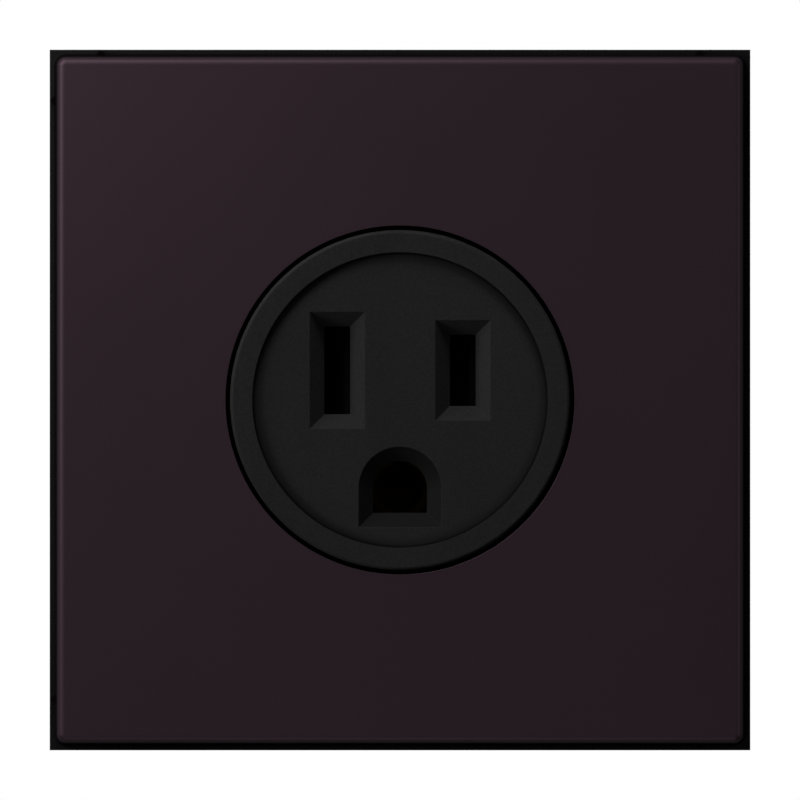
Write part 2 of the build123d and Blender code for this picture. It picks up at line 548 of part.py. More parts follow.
with BuildPart() as housing:
    with BuildSketch(at_depth(HOUSING_REAR)):
        RectangleRounded(HOUSING_W, HOUSING_H, HOUSING_CORNER_R)
    extrude(amount=HOUSING_REAR + RING_STEP)
    fillet(faces().sort_by(Axis.Y)[-1].edges(), HOUSING_EDGE_R)
    with BuildSketch(at_depth(-RING_STEP)):  # spigot through the ring's window
        RectangleRounded(SPIGOT_W, SPIGOT_H, WINDOW_CORNER_R - SPIGOT_GAP)
    extrude(amount=RING_T)
    for name, side, clip_h, terminal, arm_low, arm_high in LIVE:
        with BuildSketch(at_depth(RING_FRONT)):  # cell for the clip, with room to spread
            rectangle_between(
                side * (BLADE_X - CELL_HALF_W),
                side * (BLADE_X + CELL_HALF_W),
                BLADE_Z - clip_h / 2 - CELL_END_GAP,
                BLADE_Z + clip_h / 2 + CELL_END_GAP,
            )
        extrude(amount=RING_FRONT - CELL_REAR, mode=Mode.SUBTRACT)
        with BuildSketch(at_depth(CHAMBER_FRONT)):  # groove for the arm
            rectangle_between(
                side * (BLADE_X - clip_outer - FIT),
                side * (TERMINAL_FACE + FIT),
                arm_low - FIT,
                arm_high + FIT,
            )
        extrude(amount=CHAMBER_FRONT - CELL_REAR, mode=Mode.SUBTRACT)
    with BuildSketch(at_depth(RING_FRONT)):  # cell for the earth sleeve, with the strap's way below
        rectangle_between(
            -EARTH_CELL_HALF_W, EARTH_CELL_HALF_W, EARTH_Z - EARTH_CELL_LOW, EARTH_Z + EARTH_CELL_HIGH
        )
        rectangle_between(
            -EARTH_STRIP_HALF_W - FIT, EARTH_STRIP_HALF_W + FIT, -EARTH_TERMINAL_FACE - FIT, EARTH_Z
        )
    extrude(amount=RING_FRONT - CELL_REAR, mode=Mode.SUBTRACT)
    with BuildSketch(at_depth(-RING_STEP)):  # room for the rivet's tail
        with Locations((0, RIVET_Z)):
            Circle(RIVET_TAIL_R + GAP)
    extrude(amount=-RIVET_TAIL_T - FIT, mode=Mode.SUBTRACT)
    for name, terminal in TERMINALS:
        with BuildSketch(terminal.offset(-STRIP - FIT)):  # slot that lets the terminal plate in
            rectangle_between(
                CHAMBER_FRONT - TERMINAL_Y,
                CHAMBER_REAR - TERMINAL_Y,
                -CLAMP_W / 2 - FIT,
                CLAMP_W / 2 + FIT,
            )
        extrude(amount=STRIP + 2 * FIT, mode=Mode.SUBTRACT)
        with BuildSketch(terminal.offset(-STRIP)):  # chamber, open to the outside
            rectangle_between(
                CHAMBER_FRONT - TERMINAL_Y,
                CHAMBER_REAR - TERMINAL_Y,
                -CHAMBER_HALF_W,
                CHAMBER_HALF_W,
            )
        extrude(amount=HOUSING_H / 2, mode=Mode.SUBTRACT)
        with BuildSketch(terminal.offset(-STRIP)):  # room for the screw's tip
            Circle(SCREW_R + GAP)
        extrude(amount=-(SCREW_TIP + SCREW_TRAVEL), mode=Mode.SUBTRACT)
    with BuildSketch(at_depth(HOUSING_REAR)):  # wire entries, one on each side of each screw
        for name, terminal in TERMINALS:
            for offset_sign in (-1, 1):
                wire = terminal.from_local_coords((0, offset_sign * WIRE_OFFSET, CLAMP_GAP / 2))
                with Locations((wire.X, wire.Z)):
                    Circle(WIRE_HOLE_R)
    extrude(amount=HOUSING_REAR - CHAMBER_REAR, mode=Mode.SUBTRACT)
    entry_edges = edges().filter_by(GeomType.CIRCLE).filter_by_position(
        Axis.Y, HOUSING_REAR - RUN, HOUSING_REAR + RUN
    )
    chamfer([edge for edge in entry_edges if abs(edge.radius - WIRE_HOLE_R) < RUN], WIRE_HOLE_CHAMFER)
    with BuildSketch(at_depth(HOUSING_REAR)):  # shallow panel and a gauge for the stripped length
        RectangleRounded(PANEL_W, PANEL_H, PANEL_CORNER_R)
        with Locations((0, GAUGE_Z)):
            SlotOverall(GAUGE_L, GAUGE_W)
    extrude(amount=PANEL_DEPTH, mode=Mode.SUBTRACT)
    with BuildSketch(at_depth(CELL_REAR + GROOVE_W / 2)):  # groove all round where the blocks meet
        Rectangle(HOUSING_W + CLEAR, HOUSING_H + CLEAR)
        RectangleRounded(
            HOUSING_W - 2 * GROOVE_DEPTH,
            HOUSING_H - 2 * GROOVE_DEPTH,
            HOUSING_CORNER_R - GROOVE_DEPTH,
            mode=Mode.SUBTRACT,
        )
    extrude(amount=GROOVE_W, mode=Mode.SUBTRACT)
    with BuildSketch(at_depth(HOUSING_REAR)):  # screw holes with sunk heads
        with GridLocations(2 * POST_X, 2 * POST_Z, 2, 2):
            Circle(HOUSING_SCREW_R + FIT)
    extrude(amount=HOUSING_REAR - RING_FRONT, mode=Mode.SUBTRACT)
    with BuildSketch(at_depth(HOUSING_REAR)):
        with GridLocations(2 * POST_X, 2 * POST_Z, 2, 2):
            Circle(HOUSING_SCREW_HEAD_R + FIT)
    extrude(amount=HOUSING_SCREW_HEAD_T + FIT, mode=Mode.SUBTRACT)

for name, kept in (("contact_block", Keep.TOP), ("terminal_block", Keep.BOTTOM)):
    with BuildPart() as block:  # the contacts go into the front block from behind
        add(housing.part)
        split(bisect_by=at_depth(CELL_REAR), keep=kept)
    save(block, name)

# ---- Clamp plates and terminal screws ------------------------------------------------------------

for name, terminal in TERMINALS:
    with BuildPart() as clamp:
        with BuildSketch(terminal.offset(CLAMP_GAP)):
            Rectangle(CLAMP_L, CLAMP_W)
            Circle(SCREW_R + 2 * RUN, mode=Mode.SUBTRACT)
        extrude(amount=CLAMP_T)
        chamfer(edges().filter_by(Axis(terminal.origin, terminal.z_dir)), CLAMP_CHAMFER)
        wire_grooves = Plane(
            terminal.from_local_coords((-CLAMP_L / 2, 0, CLAMP_GAP)),
            x_dir=terminal.y_dir,
            z_dir=terminal.x_dir,
        )
        with BuildSketch(wire_grooves):  # a groove for each wire, across the plate's inner face
            with Locations((-WIRE_OFFSET, 0), (WIRE_OFFSET, 0)):
                Polygon(
                    (-WIRE_GROOVE_HALF_W, 0),
                    (0, WIRE_GROOVE_DEPTH),
                    (WIRE_GROOVE_HALF_W, 0),
                    (0, -WIRE_GROOVE_DEPTH),
                    align=None,
                )
        extrude(amount=CLAMP_L, mode=Mode.SUBTRACT)
    save(clamp, f"{name}_clamp")

    head_base = CLAMP_GAP + CLAMP_T + RUN
    with BuildPart() as screw:
        with BuildSketch(terminal.offset(-SCREW_TIP)):
            Circle(SCREW_R)
        extrude(amount=head_base + SCREW_TIP + OVERLAP)
        chamfer(edges().group_by(Axis(terminal.origin, terminal.z_dir))[0], TIP_CHAMFER)
        with BuildSketch(terminal.offset(head_base)):
            Circle(SCREW_HEAD_R)
        extrude(amount=SCREW_HEAD_T)
        chamfer(edges().group_by(Axis(terminal.origin, terminal.z_dir))[-1], HEAD_CHAMFER)
        with BuildSketch(terminal.offset(head_base + SCREW_HEAD_T)):  # straight and cross drive
            Rectangle(2 * SCREW_HEAD_R + CLEAR, DRIVE_W)
            Rectangle(DRIVE_W, DRIVE_L)
        extrude(amount=-DRIVE_DEPTH, mode=Mode.SUBTRACT)
    save(screw, f"{name}_screw")

# ---- Fixing claws, their hinge pins and their screws ---------------------------------------------

for name, side in (("right", 1), ("left", -1)):
    hinge_x, screw_x, claw_z = side * CLAW_X, side * CLAW_SCREW_X, side * CLAW_Z
    arm_end = hinge_x + side * CLAW_ARM
    long_inner = hinge_x - side * CLAW_BACKSET
    long_outer = long_inner + side * CLAW_T
    tooth_end = long_inner + side * CLAW_TOOTH
    back = CLAW_Y + CLAW_REACH
    with BuildPart() as claw:
        with BuildSketch(at_height(claw_z - CLAW_W / 2)):
            with Locations((hinge_x, CLAW_Y)):
                Circle(CLAW_KNUCKLE_R)
            rectangle_between(hinge_x, arm_end, CLAW_Y - CLAW_T / 2, CLAW_Y + CLAW_T / 2)
            rectangle_between(long_inner, long_outer, CLAW_Y, back)
            rectangle_between(long_inner, tooth_end, back - CLAW_T, back)
            with Locations((hinge_x, CLAW_Y)):
                Circle(CLAW_PIN_R + RUN, mode=Mode.SUBTRACT)
        extrude(amount=CLAW_W)
        arm_corners = edges().filter_by(Axis.Y).sort_by(Axis.X, reverse=side > 0)[0:2]
        fillet(arm_corners, CLAW_CORNER_R)
        with BuildSketch(at_depth(CLAW_Y + CLAW_T)):  # slot for the screw, long enough for the swing
            with Locations((hinge_x + side * CLAW_SLOT_X, claw_z)):
                SlotOverall(CLAW_SLOT_L, 2 * CLAW_SCREW_R + GAP)
        extrude(amount=2 * CLAW_T, mode=Mode.SUBTRACT)
        with BuildSketch(at_depth(back + CLEAR)):  # notches between the teeth
            for notch in (-1, 1):
                notch_z = claw_z + notch * CLAW_W / 4
                Polygon(
                    (tooth_end, notch_z - NOTCH_HALF_W),
                    (tooth_end, notch_z + NOTCH_HALF_W),
                    (tooth_end - side * TOOTH_NOTCH, notch_z),
                    align=None,
                )
        extrude(amount=CLAW_T + 2 * CLEAR, mode=Mode.SUBTRACT)
    save(claw, f"{name}_claw")

    pin_half = CLAW_W / 2 + EAR_GAP + EAR_T
    with BuildPart() as claw_pin:
        with BuildSketch(at_height(claw_z - pin_half - GAP)):
            with Locations((hinge_x, CLAW_Y)):
                Circle(CLAW_PIN_R)
        extrude(amount=2 * pin_half + GAP)
        with BuildSketch(at_height(claw_z + pin_half)):
            with Locations((hinge_x, CLAW_Y)):
                Circle(CLAW_PIN_HEAD_R)
        extrude(amount=CLAW_PIN_HEAD_T)
    save(claw_pin, f"{name}_claw_pin")

    head_rear = RING_FRONT - RUN
    with BuildPart() as claw_screw:
        with BuildSketch(at_depth(CLAW_SCREW_END)):
            with Locations((screw_x, claw_z)):
                Circle(CLAW_SCREW_R)
        extrude(amount=CLAW_SCREW_END - head_rear + OVERLAP)
        chamfer(edges().group_by(Axis.Y)[-1], TIP_CHAMFER)
        with BuildSketch(at_depth(head_rear)):
            with Locations((screw_x, claw_z)):
                Circle(CLAW_SCREW_HEAD_R)
        extrude(amount=CLAW_SCREW_HEAD_T)
        chamfer(edges().group_by(Axis.Y)[0], HEAD_CHAMFER)
        with BuildSketch(at_depth(head_rear - CLAW_SCREW_HEAD_T)):
            with Locations((screw_x, claw_z)):
                Rectangle(2 * CLAW_SCREW_HEAD_R + CLEAR, CLAW_DRIVE_W)
                Rectangle(CLAW_DRIVE_W, CLAW_DRIVE_L)
        extrude(amount=-DRIVE_DEPTH, mode=Mode.SUBTRACT)
    save(claw_screw, f"{name}_claw_screw")

# ---- The four screws that draw the housing and the face together through the ring ----------------

head_top = HOUSING_REAR - FIT
head_under = head_top - HOUSING_SCREW_HEAD_T
screw_front = RING_FRONT - PILOT_DEPTH + FIT

with BuildPart() as housing_screws:
    with BuildSketch(at_depth(head_under + OVERLAP)):
        with GridLocations(2 * POST_X, 2 * POST_Z, 2, 2):
            Circle(HOUSING_SCREW_R)
    extrude(amount=head_under + OVERLAP - screw_front)
    with BuildSketch(at_depth(head_top)):
        with GridLocations(2 * POST_X, 2 * POST_Z, 2, 2):
            Circle(HOUSING_SCREW_HEAD_R)
    extrude(amount=HOUSING_SCREW_HEAD_T)
    with BuildSketch(at_depth(head_top)):
        with GridLocations(2 * POST_X, 2 * POST_Z, 2, 2):
            Rectangle(HOUSING_DRIVE_L, HOUSING_DRIVE_W)
            Rectangle(HOUSING_DRIVE_W, HOUSING_DRIVE_L)
    extrude(amount=HOUSING_DRIVE_DEPTH, mode=Mode.SUBTRACT)
save(housing_screws, "housing_screws")
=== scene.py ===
"""Looks of the wall outlet: materials, a coil spring, screw threads, studio light and camera.

Everything is in metres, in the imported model's own frame: +X right and +Z up as seen from the room,
+Y into the wall, and the front of the outlet faces -Y.
"""

from math import cos, pi, radians, sin

import bmesh
import bpy
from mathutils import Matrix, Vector


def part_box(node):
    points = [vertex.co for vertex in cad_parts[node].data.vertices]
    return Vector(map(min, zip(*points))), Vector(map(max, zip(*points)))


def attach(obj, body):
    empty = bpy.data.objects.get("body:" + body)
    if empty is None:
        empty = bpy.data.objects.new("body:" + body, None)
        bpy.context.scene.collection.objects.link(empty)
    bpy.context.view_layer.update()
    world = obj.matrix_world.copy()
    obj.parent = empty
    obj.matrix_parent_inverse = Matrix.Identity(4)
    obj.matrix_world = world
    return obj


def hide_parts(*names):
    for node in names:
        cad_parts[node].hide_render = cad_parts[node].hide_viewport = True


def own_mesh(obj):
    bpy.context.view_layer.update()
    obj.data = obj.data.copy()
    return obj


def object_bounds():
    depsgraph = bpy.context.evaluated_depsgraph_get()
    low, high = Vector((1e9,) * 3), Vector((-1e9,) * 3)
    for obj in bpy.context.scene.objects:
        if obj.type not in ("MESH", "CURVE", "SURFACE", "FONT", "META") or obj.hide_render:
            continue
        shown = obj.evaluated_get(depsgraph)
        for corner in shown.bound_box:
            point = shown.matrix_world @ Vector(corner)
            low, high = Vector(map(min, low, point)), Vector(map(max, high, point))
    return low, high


MM = 0.001

# Places on the CAD model that the materials and the camera follow
SKIRT_FADE_FRONT, SKIRT_FADE_BACK = -9.88 * MM, -9.3 * MM  # depths between which the skirt fades to a darker colour, a painted shade, and turns matt
RIM_FRONT = -2.6 * MM
RECESS_RADIUS = 14.92 * MM  # wall of the recess in the round face
DISC_DEPTH = -9.8 * MM  # floor of that recess
EARTH_CENTRE = (0, 0, -8.9 * MM)

# Base colours and specular tint of the lacquer, and the darker colour painted on the skirt as shade
LACQUER_DARK, LACQUER_LIGHT = (0.0138, 0.0083, 0.0112), (0.0166, 0.0102, 0.0136)
LACQUER_TINT = (1.0, 0.66, 0.83, 1.0)
SKIRT_PAINTED_SHADE = (0.0045, 0.0034, 0.0041, 1.0)

# Painted shade on the round face: darker base colours where its recess meets the wall, with a
# painted shadow at the foot of the wall, and in the mouth of the earth hole
CORNER_PAINTED_SHADE = (0.0075,) * 3
WALL_PAINTED_SHADOW = (0.0010,) * 3
MOUTH_PAINTED_SHADE = (0.0054,) * 3
CORNER_WIDTH, WALL_WIDTH = 1.3 * MM, 0.3 * MM  # how far each reaches in from the wall
WALL_SOFTNESS = 0.05 * MM
MOUTH_INNER, MOUTH_OUTER = 6.3 * MM, 6.5 * MM  # a circle round the earth hole's mouth
MOUTH_START = DISC_DEPTH + 0.003 * MM  # just behind the disc, which keeps its own colour
MOUTH_SOFTNESS = 0.03 * MM

# Base colours of the metals
ZINC_DARK, ZINC_TINT, ZINC_LIGHT = (0.36, 0.36, 0.34), (0.50, 0.49, 0.44), (0.62, 0.62, 0.61)
BRASS_DARK, BRASS_LIGHT = (0.42, 0.23, 0.06), (0.72, 0.46, 0.15)
SPRING_DARK, SPRING_LIGHT = (0.30,) * 3, (0.55,) * 3

# A screw's finish: dark and light base colours, and how metallic it is
ZINC_FINISH = (ZINC_DARK, ZINC_LIGHT, 1.0)
BRASS_FINISH = ((0.40, 0.22, 0.06), (0.76, 0.50, 0.18), 1.0)
NICKEL_FINISH = ((0.40, 0.38, 0.34), (0.68, 0.66, 0.61), 1.0)
GREEN_FINISH = ((0.010, 0.080, 0.024), (0.030, 0.190, 0.062), 0.75)

# The coil spring
WIRE_RADIUS = 0.16 * MM
COIL_TURNS, CLOSED_TURNS = 7.0, 0.9  # all turns, and those that lie closed at each end
WIRE_SIDES, STEPS_PER_TURN = 10, 28

# Screw threads: crest radius, pitch and the length of the head, for each kind of screw
CLAW_THREAD = (1.5 * MM, 0.5 * MM, 2.1 * MM)
TERMINAL_THREAD = (1.75 * MM, 0.6 * MM, 2.0 * MM)
THREAD_SIDES, RINGS_PER_PITCH = 32, 10
THREAD_DEPTH = 0.6  # in pitches
THREAD_FLANK = 1.25  # how steeply a flank rises to its flat crest
TIP_TAPER = 0.4 * MM
HEAD_OVERLAP = 0.02 * MM  # how far the thread starts inside the head
LATHE_RING = 0.12 * MM

# Studio
TARGET = (0, -0.01, 0)  # what the studio lights aim at
KEY_AWAY, KEY_FORWARD, KEY_SIZE, KEY_POWER = 0.47, -0.18, 0.16, 2.0
GLOSS_SIZE = 0.1
GLOSS_LIGHTS = (
    ("left", (-0.243, -0.186, 0.10), 0.85),
    ("top", (-0.10, -0.186, 0.243), 0.85),
    ("right", (0.243, -0.186, 0.0), 0.14),
    ("bottom", (0.0, -0.128, -0.162), 0.07),
)
CORNER_PLACE, CORNER_TARGET = (-0.055, -0.075, 0.055), (-0.03, -0.01, 0.03)
CORNER_SIZE, CORNER_POWER = 0.02, 0.013
BACK_PLACE, BACK_TARGET = (-0.08, 0.7, 0.1), (0, 0.01, 0)
BACK_SIZE, BACK_POWER = 0.4, 1.5
WORLD_GREYS = (  # from straight in front, at 0, to straight behind, at 1
    (0.03, 0.0),
    (0.12, 0.13),
    (0.28, 0.1),
    (0.42, 0.01),
    (0.55, 0.12),
    (0.8, 0.5),
)
FLOOR_HALF, FLOOR_DROP = 3.0, 0.16  # half its side, and how far it lies below the outlet
FLOOR_DARK, FLOOR_LIGHT = (0.78, 0.78, 0.77), (0.84, 0.84, 0.83)
FLOOR_GLOW, FLOOR_GLOW_STRENGTH = (0.80, 0.80, 0.79, 1.0), 0.5
FLOOR_DIM = (0.12, 0.12, 0.12, 1.0)  # how it looks from the outlet
LENS, SENSOR, FAR_CLIP = 1500.0, 36.0, 100
VIEW_MARGIN = 1.142  # width of the view over the width of the outlet

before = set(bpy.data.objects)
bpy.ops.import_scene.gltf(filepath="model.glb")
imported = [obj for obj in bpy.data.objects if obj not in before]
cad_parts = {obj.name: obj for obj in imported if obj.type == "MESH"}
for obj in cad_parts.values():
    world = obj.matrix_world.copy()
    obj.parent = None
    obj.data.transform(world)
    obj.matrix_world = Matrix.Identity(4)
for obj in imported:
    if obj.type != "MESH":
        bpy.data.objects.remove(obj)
cad_low, cad_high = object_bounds()

# ---- Node helpers --------------------------------------------------------------------------------


def add_node(tree, kind, settings=None, **inputs):
    """A shader node with its inputs set by name; an input that is a socket is linked."""
    node = tree.nodes.new(kind)
    for name, value in (settings or {}).items():
        setattr(node, name, value)
    for name, value in inputs.items():
        socket = node.inputs[name.replace("_", " ")]
        if isinstance(value, bpy.types.NodeSocket):
            tree.links.new(value, socket)
        else:
            socket.default_value = value
    return node


def ramp(tree, factor, stops):
    """A colour ramp through (position, linear colour) stops."""
    node = add_node(tree, "ShaderNodeValToRGB", Fac=factor)
    elements = node.color_ramp.elements
    while len(elements) < len(stops):
        elements.new(0.5)
    for element, (position, colour) in zip(elements, stops):
        element.position = position
        element.color = (*colour, 1.0)
    return node.outputs["Color"]


def spread(tree, value, low, high):
    """A 0 to 1 value mapped onto low to high."""
    node = add_node(tree, "ShaderNodeMapRange", Value=value)
    node.inputs["To Min"].default_value = low
    node.inputs["To Max"].default_value = high
    return node.outputs["Result"]


def noise(tree, coords, per_mm, detail=2.0, roughness=0.5, stretch=None):
    """Noise with about per_mm cells in a millimetre, optionally stretched along the axes."""
    if stretch:
        mapping = add_node(tree, "ShaderNodeMapping", Vector=coords)
        mapping.inputs["Scale"].default_value = stretch
        coords = mapping.outputs["Vector"]
    node = add_node(
        tree,
        "ShaderNodeTexNoise",
        Vector=coords,
        Scale=per_mm / MM,
        Detail=detail,
        Roughness=roughness,
    )
    return node.outputs["Fac"]


def bump(tree, height, depth_mm, normal=None):
    """Bump of a given depth from a 0 to 1 height, over an optional normal."""
    node = add_node(tree, "ShaderNodeBump", Strength=1.0, Distance=depth_mm * MM, Height=height)
    if normal is not None:
        tree.links.new(normal, node.inputs["Normal"])
    return node.outputs["Normal"]


def rounded(tree, radius_mm):
    """A normal that rounds every sharp edge by a small radius."""
    node = add_node(tree, "ShaderNodeBevel", {"samples": 4}, Radius=radius_mm * MM)
    return node.outputs["Normal"]


def blend(tree, fine, coarse, share):
    """Two 0 to 1 values added, the fine one at a given share."""
    node = add_node(tree, "ShaderNodeMath", {"operation": "MULTIPLY_ADD"})
    tree.links.new(fine, node.inputs[0])
    node.inputs[1].default_value = share
    tree.links.new(coarse, node.inputs[2])
    return node.outputs[0]


def new_material(name):
    """An empty material with a Principled shader: (material, tree, shader, object coordinates)."""
    material = bpy.data.materials.new(name)
    material.use_nodes = True
    tree = material.node_tree
    tree.nodes.clear()
    shader = tree.nodes.new("ShaderNodeBsdfPrincipled")
    output = tree.nodes.new("ShaderNodeOutputMaterial")
    tree.links.new(shader.outputs["BSDF"], output.inputs["Surface"])
    coords = tree.nodes.new("ShaderNodeTexCoord").outputs["Object"]
    return material, tree, shader, coords


def connect(tree, shader, **sockets):
    """Link sockets or set constants on the shader's own inputs."""
    for name, value in sockets.items():
        socket = shader.inputs[name.replace("_", " ")]
        if isinstance(value, bpy.types.NodeSocket):
            tree.links.new(value, socket)
        else:
            socket.default_value = value


def near_axis(tree, coords, centre, inner, outer):
    """1 within inner of a line along Y through centre, falling smoothly to 0 at outer."""
    offset = add_node(tree, "ShaderNodeVectorMath", {"operation": "SUBTRACT"})
    tree.links.new(coords, offset.inputs[0])
    offset.inputs[1].default_value = centre
    flat = add_node(tree, "ShaderNodeVectorMath", {"operation": "MULTIPLY"})
    tree.links.new(offset.outputs[0], flat.inputs[0])
    flat.inputs[1].default_value = (1, 0, 1)
    distance = add_node(tree, "ShaderNodeVectorMath", {"operation": "LENGTH"})
    tree.links.new(flat.outputs[0], distance.inputs[0])
    smooth = {"interpolation_type": "SMOOTHSTEP"}
    mask = add_node(tree, "ShaderNodeMapRange", smooth, Value=distance.outputs["Value"])
    mask.inputs["From Min"].default_value = inner
    mask.inputs["From Max"].default_value = outer
    mask.inputs["To Min"].default_value = 1.0
    mask.inputs["To Max"].default_value = 0.0
    return mask.outputs["Result"]


def darken(tree, shader, mask, colour):
    """Mix the shader's base colour towards a darker one where the mask is 1."""
    mix = add_node(tree, "ShaderNodeMix", {"data_type": "RGBA"})
    tree.links.new(mask, mix.inputs[0])
    tree.links.new(shader.inputs["Base Color"].links[0].from_socket, mix.inputs[6])
    mix.inputs[7].default_value = (*colour, 1.0)
    tree.links.new(mix.outputs[2], shader.inputs["Base Color"])


def below(tree, coords, depth, softness):
    """0 in front of a depth and 1 behind it."""
    place = add_node(tree, "ShaderNodeSeparateXYZ", Vector=coords).outputs["Y"]
    mask = add_node(tree, "ShaderNodeMapRange", Value=place)
    mask.inputs["From Min"].default_value = depth
    mask.inputs["From Max"].default_value = depth + softness
    return mask.outputs["Result"]


def combine(tree, operation, first, second):
    """Two values put together by a math operation."""
    node = add_node(tree, "ShaderNodeMath", {"operation": operation})
    tree.links.new(first, node.inputs[0])
    tree.links.new(second, node.inputs[1])
    return node.outputs[0]


# ---- Materials -----------------------------------------------------------------------------------


def cover_lacquer():
    """Dark aubergine lacquer, faintly rippled; down the skirt it turns matt and darker, a painted
    shade.
    """
    material, tree, shader, coords = new_material("cover_lacquer")
    cloud = noise(tree, coords, 0.05, detail=3)
    flake = noise(tree, coords, 9.0, detail=1)
    peel = noise(tree, coords, 0.8, detail=2)
    colour = ramp(
        tree,
        blend(tree, flake, cloud, 0.35),
        [(0.35, LACQUER_DARK), (0.95, LACQUER_LIGHT)],
    )
    depth = add_node(tree, "ShaderNodeSeparateXYZ", Vector=coords).outputs["Y"]
    skirt = add_node(tree, "ShaderNodeMapRange", {"interpolation_type": "SMOOTHSTEP"}, Value=depth)
    skirt.inputs["From Min"].default_value = SKIRT_FADE_FRONT
    skirt.inputs["From Max"].default_value = SKIRT_FADE_BACK
    # Painted shade: down the skirt the base colour fades to a much darker one
    skirt_shaded = add_node(tree, "ShaderNodeMix", {"data_type": "RGBA"})
    tree.links.new(skirt.outputs["Result"], skirt_shaded.inputs[0])
    tree.links.new(colour, skirt_shaded.inputs[6])
    skirt_shaded.inputs[7].default_value = SKIRT_PAINTED_SHADE
    normal = bump(tree, peel, 0.0012, rounded(tree, 0.12))
    normal = bump(tree, flake, 0.0004, normal)
    connect(
        tree,
        shader,
        Base_Color=skirt_shaded.outputs[2],
        Roughness=spread(tree, skirt.outputs["Result"], 0.5, 0.9),
        Normal=normal,
        Specular_IOR_Level=spread(tree, skirt.outputs["Result"], 0.25, 0.0),
        Specular_Tint=LACQUER_TINT,
    )
    return material


def moulded_plastic(name, dark, light, roughness, grain_per_mm, grain_mm, specular, edge_mm):
    """Moulded plastic: a fine eroded grain, slow flow marks and slightly rounded edges."""
    material, tree, shader, coords = new_material(name)
    grain = noise(tree, coords, grain_per_mm, detail=2, roughness=0.6)
    flow = noise(tree, coords, 0.12, detail=3, stretch=(1.0, 1.0, 0.4))
    speck = noise(tree, coords, grain_per_mm * 0.6, detail=1)
    connect(
        tree,
        shader,
        Base_Color=ramp(tree, blend(tree, flow, speck, 0.4), [(0.4, dark), (1.0, light)]),
        Roughness=spread(tree, flow, *roughness),
        Normal=bump(tree, grain, grain_mm, rounded(tree, edge_mm)),
        Specular_IOR_Level=specular,
    )
    return material


def add_painted_shade(material):
    """Painted shade in the corner round the recessed disc, a painted shadow at the foot of its wall,
    and painted shade in the mouth of the earth hole, all as darker base colour.
    """
    tree = material.node_tree
    shader = next(n for n in tree.nodes if n.type == "BSDF_PRINCIPLED")
    coords = next(n for n in tree.nodes if n.type == "TEX_COORD").outputs["Object"]
    middle = (0, 0, 0)
    inside_wall = near_axis(tree, coords, middle, RECESS_RADIUS, RECESS_RADIUS + WALL_SOFTNESS)
    # Painted shade in the corner round the disc, and a painted shadow along the foot of its wall
    for width, colour in ((CORNER_WIDTH, CORNER_PAINTED_SHADE), (WALL_WIDTH, WALL_PAINTED_SHADOW)):
        unshaded = near_axis(tree, coords, middle, RECESS_RADIUS - width, RECESS_RADIUS)
        darken(tree, shader, combine(tree, "SUBTRACT", inside_wall, unshaded), colour)
    # Painted shade: the mouth of the earth hole, behind the disc, gets a darker base colour
    around_earth = near_axis(tree, coords, EARTH_CENTRE, MOUTH_INNER, MOUTH_OUTER)
    recessed = below(tree, coords, MOUTH_START, MOUTH_SOFTNESS)
    darken(tree, shader, combine(tree, "MULTIPLY", around_earth, recessed), MOUTH_PAINTED_SHADE)


def stamped_metal(name, dark, light, roughness, stretch, edge_mm, tint=None):
    """Rolled or plated sheet metal: brushed streaks, cloudy tarnish and broken, rounded edges."""
    material, tree, shader, coords = new_material(name)
    streak = noise(tree, coords, 2.5, detail=3, stretch=stretch)
    cloud = noise(tree, coords, 0.25, detail=4, roughness=0.6)
    pits = noise(tree, coords, 6.0, detail=1)
    stops = [(0.35, dark), (0.9, light)]
    if tint is not None:
        stops.insert(1, (0.65, tint))
    normal = bump(tree, streak, 0.0015, rounded(tree, edge_mm))
    normal = bump(tree, pits, 0.0008, normal)
    connect(
        tree,
        shader,
        Base_Color=ramp(tree, blend(tree, streak, cloud, 0.35), stops),
        Metallic=1.0,
        Roughness=spread(tree, cloud, *roughness),
        Normal=normal,
    )
    return material


def turned_metal(name, centre, axis, dark, light, metallic):
    """A screw's metal: fine rings from the lathe about its axis, and a cloudy finish."""
    material, tree, shader, coords = new_material(name)
    offset = add_node(tree, "ShaderNodeVectorMath", {"operation": "SUBTRACT"})
    tree.links.new(coords, offset.inputs[0])
    offset.inputs[1].default_value = centre
    flat = add_node(tree, "ShaderNodeVectorMath", {"operation": "CROSS_PRODUCT"})
    tree.links.new(offset.outputs[0], flat.inputs[0])
    flat.inputs[1].default_value = axis
    distance = add_node(tree, "ShaderNodeVectorMath", {"operation": "LENGTH"})
    tree.links.new(flat.outputs[0], distance.inputs[0])
    scaled = add_node(tree, "ShaderNodeMath", {"operation": "MULTIPLY"})
    tree.links.new(distance.outputs["Value"], scaled.inputs[0])
    scaled.inputs[1].default_value = 2 * pi / LATHE_RING
    rings = add_node(tree, "ShaderNodeMath", {"operation": "SINE"})
    tree.links.new(scaled.outputs[0], rings.inputs[0])
    ring_height = spread(tree, rings.outputs[0], 0.0, 1.0)
    cloud = noise(tree, coords, 0.8, detail=4, roughness=0.65)
    connect(
        tree,
        shader,
        Base_Color=ramp(tree, cloud, [(0.3, dark), (0.7, light)]),
        Metallic=metallic,
        Roughness=spread(tree, cloud, 0.42, 0.24),
        Normal=bump(tree, ring_height, 0.0012, rounded(tree, 0.08)),
    )
    return material


lacquer = cover_lacquer()
face_plastic = moulded_plastic(
    "face_plastic",
    dark=(0.0110,) * 3,
    light=(0.0184,) * 3,
    roughness=(0.55, 0.62),
    grain_per_mm=7.0,
    grain_mm=0.013,
    specular=0.05,
    edge_mm=0.10,
)
